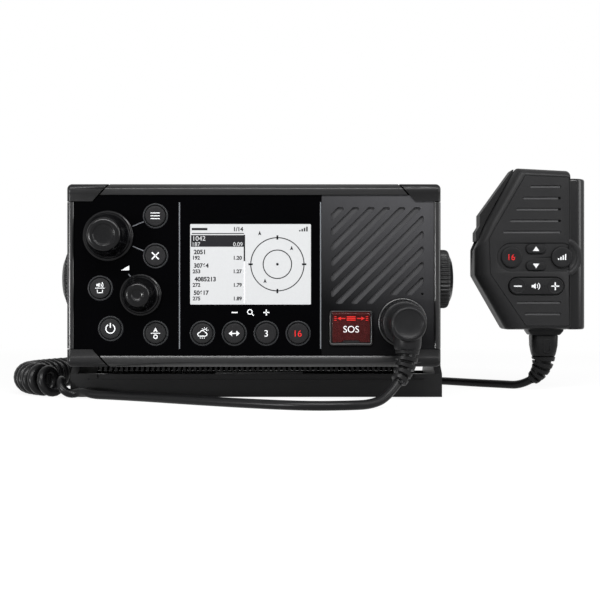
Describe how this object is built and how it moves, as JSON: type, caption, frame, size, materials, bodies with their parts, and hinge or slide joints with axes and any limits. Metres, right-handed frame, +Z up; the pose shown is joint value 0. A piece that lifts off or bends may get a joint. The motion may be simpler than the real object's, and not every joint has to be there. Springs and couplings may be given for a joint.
{
  "type": "marine vhf radio",
  "caption": "Fixed-mount marine radio in a tilting bracket, with display, knobs and keys in front and a fist handset on a curly cord plugged into its face.",
  "frame": {"origin": "on the underside of the bracket's base, below the tilt axis, halfway between the bracket's arms", "axes": "+X to the right seen from the front, along the longest extent; +Y from the front panel to the back; +Z up, out of the bracket's base"},
  "size_m": [0.348, 0.2358, 0.1366],
  "materials": {
    "bezel_black": "satin moulded black plastic",
    "gloss_black": "gloss black printed panel",
    "grille_grey": "fine matte dark grey",
    "screen": "pale lit display",
    "key_rubber": "matte silicone",
    "board_green": "green solder mask",
    "steel": "plain steel",
    "knob_black": "soft satin black",
    "red_clear": "clear red",
    "red_key": "red",
    "connector_black": "satin black",
    "boot_rubber": "matte rubber",
    "speaker_black": "black",
    "cast_black": "black powder coat",
    "bracket_black": "fine matte black",
    "nickel": "nickel plate",
    "brass": "turned",
    "handset_black": "satin moulded black",
    "cord_black": "smooth black jacket"
  },
  "bodies": {
    "bracket": {"bracket": "bracket_black", "handset_front_shell": "handset_black", "handset_back_shell": "handset_black", "handset_rail": "handset_black", "handset_speaker": "speaker_black", "handset_microphone": "speaker_black", "handset_board": "board_green", "handset_hang_stud": "steel", "handset_screws": "steel", "handset_boot": "boot_rubber", "cord_front": "cord_black", "cord_coil": "cord_black", "cord_rear": "cord_black"},
    "radio": {"front_bezel": "bezel_black", "corner_caps": "bezel_black", "fascia_panel": "gloss_black", "speaker_panel": "grille_grey", "lcd_display": "screen", "key_membrane": "key_rubber", "front_board": "board_green", "encoders": "steel", "distress_frame": "bezel_black", "distress_cover_pin": "steel", "mic_socket": "connector_black", "plug_lock_ring": "connector_black", "plug_body": "connector_black", "plug_boot": "boot_rubber", "speaker_driver": "speaker_black", "rear_chassis": "cast_black", "case_gasket": "boot_rubber", "case_screws": "steel", "main_board": "board_green", "rf_shield": "steel", "antenna_socket": "nickel", "network_socket": "nickel", "power_inlet": "connector_black", "pivot_inserts": "brass"},
    "clamp_knob_left": {"clamp_knob_left": "knob_black"},
    "clamp_knob_right": {"clamp_knob_right": "knob_black"},
    "main_shaft": {"main_shaft": "steel"},
    "main_knob": {"main_knob": "knob_black"},
    "volume_shaft": {"volume_shaft": "steel"},
    "volume_knob": {"volume_knob": "knob_black"},
    "key_menu": {"key_menu": "key_rubber"},
    "key_cancel": {"key_cancel": "key_rubber"},
    "key_intercom": {"key_intercom": "key_rubber"},
    "key_power": {"key_power": "key_rubber"},
    "key_navigation": {"key_navigation": "key_rubber"},
    "key_weather": {"key_weather": "key_rubber"},
    "key_scan": {"key_scan": "key_rubber"},
    "key_triple_watch": {"key_triple_watch": "key_rubber"},
    "key_16": {"key_16": "key_rubber"},
    "distress_cover": {"distress_cover": "red_clear"},
    "distress_button": {"distress_button": "red_key"},
    "talk_key": {"talk_key": "boot_rubber"},
    "handset_key_16": {"handset_key_16": "key_rubber"},
    "handset_key_power_level": {"handset_key_power_level": "key_rubber"},
    "handset_key_up": {"handset_key_up": "key_rubber"},
    "handset_key_down": {"handset_key_down": "key_rubber"},
    "handset_volume_rocker": {"handset_volume_rocker": "key_rubber"}
  },
  "joints": [
    {"name": "tilt", "type": "hinge", "parent": "bracket", "child": "radio", "pos_m": [0, 0, 0.0687], "axis": [-1, 0, 0], "range_deg": [0, 15]},
    {"name": "clamp_knob_left_turn", "type": "hinge", "parent": "radio", "child": "clamp_knob_left", "pos_m": [-0.105, 0, 0.0687], "axis": [-1, 0, 0], "range_deg": [0, 270]},
    {"name": "clamp_knob_right_turn", "type": "hinge", "parent": "radio", "child": "clamp_knob_right", "pos_m": [0.105, 0, 0.0687], "axis": [1, 0, 0], "range_deg": [0, 270]},
    {"name": "main_knob_press", "type": "slide", "parent": "radio", "child": "main_shaft", "axis": [0, 1, 0], "range_m": [0, 0.0005], "stiffness_N_per_m": 2000},
    {"name": "main_knob_turn", "type": "hinge", "parent": "main_shaft", "child": "main_knob", "pos_m": [-0.0797, -0.08, 0.0911], "axis": [0, 1, 0], "continuous": true},
    {"name": "volume_knob_press", "type": "slide", "parent": "radio", "child": "volume_shaft", "axis": [0, 1, 0], "range_m": [0, 0.0005], "stiffness_N_per_m": 2000},
    {"name": "volume_knob_turn", "type": "hinge", "parent": "volume_shaft", "child": "volume_knob", "pos_m": [-0.0619, -0.08, 0.0588], "axis": [0, 1, 0], "continuous": true},
    {"name": "key_menu_press", "type": "slide", "parent": "radio", "child": "key_menu", "axis": [0, 1, 0], "range_m": [0, 0.0008], "stiffness_N_per_m": 800},
    {"name": "key_cancel_press", "type": "slide", "parent": "radio", "child": "key_cancel", "axis": [0, 1, 0], "range_m": [0, 0.0008], "stiffness_N_per_m": 800},
    {"name": "key_intercom_press", "type": "slide", "parent": "radio", "child": "key_intercom", "axis": [0, 1, 0], "range_m": [0, 0.0008], "stiffness_N_per_m": 800},
    {"name": "key_power_press", "type": "slide", "parent": "radio", "child": "key_power", "axis": [0, 1, 0], "range_m": [0, 0.0008], "stiffness_N_per_m": 800},
    {"name": "key_navigation_press", "type": "slide", "parent": "radio", "child": "key_navigation", "axis": [0, 1, 0], "range_m": [0, 0.0008], "stiffness_N_per_m": 800},
    {"name": "key_weather_press", "type": "slide", "parent": "radio", "child": "key_weather", "axis": [0, 1, 0], "range_m": [0, 0.0008], "stiffness_N_per_m": 800},
    {"name": "key_scan_press", "type": "slide", "parent": "radio", "child": "key_scan", "axis": [0, 1, 0], "range_m": [0, 0.0008], "stiffness_N_per_m": 800},
    {"name": "key_triple_watch_press", "type": "slide", "parent": "radio", "child": "key_triple_watch", "axis": [0, 1, 0], "range_m": [0, 0.0008], "stiffness_N_per_m": 800},
    {"name": "key_16_press", "type": "slide", "parent": "radio", "child": "key_16", "axis": [0, 1, 0], "range_m": [0, 0.0008], "stiffness_N_per_m": 800},
    {"name": "distress_cover_lift", "type": "hinge", "parent": "radio", "child": "distress_cover", "pos_m": [0.0533, -0.0708, 0.0482], "axis": [-1, 0, 0], "range_deg": [0, 100], "stiffness_Nm_per_rad": 0.004, "springref_deg": -17.19},
    {"name": "distress_button_press", "type": "slide", "parent": "radio", "child": "distress_button", "axis": [0, 1, 0], "range_m": [0, 0.0008], "stiffness_N_per_m": 1200},
    {"name": "talk_key_press", "type": "slide", "parent": "bracket", "child": "talk_key", "axis": [0.8772, 0, -0.4801], "range_m": [0, 0.0012], "stiffness_N_per_m": 2500},
    {"name": "handset_key_16_press", "type": "slide", "parent": "bracket", "child": "handset_key_16", "axis": [0, 1, 0], "range_m": [0, 0.0008], "stiffness_N_per_m": 800},
    {"name": "handset_key_power_level_press", "type": "slide", "parent": "bracket", "child": "handset_key_power_level", "axis": [0, 1, 0], "range_m": [0, 0.0008], "stiffness_N_per_m": 800},
    {"name": "handset_key_up_press", "type": "slide", "parent": "bracket", "child": "handset_key_up", "axis": [0, 1, 0], "range_m": [0, 0.0008], "stiffness_N_per_m": 800},
    {"name": "handset_key_down_press", "type": "slide", "parent": "bracket", "child": "handset_key_down", "axis": [0, 1, 0], "range_m": [0, 0.0008], "stiffness_N_per_m": 800},
    {"name": "handset_volume_rocker_tip", "type": "hinge", "parent": "bracket", "child": "handset_volume_rocker", "pos_m": [0.16875, 0.002, 0.0644], "axis": [0, 0, 1], "range_deg": [-2.5, 2.5], "stiffness_Nm_per_rad": 0.3}
  ]
}
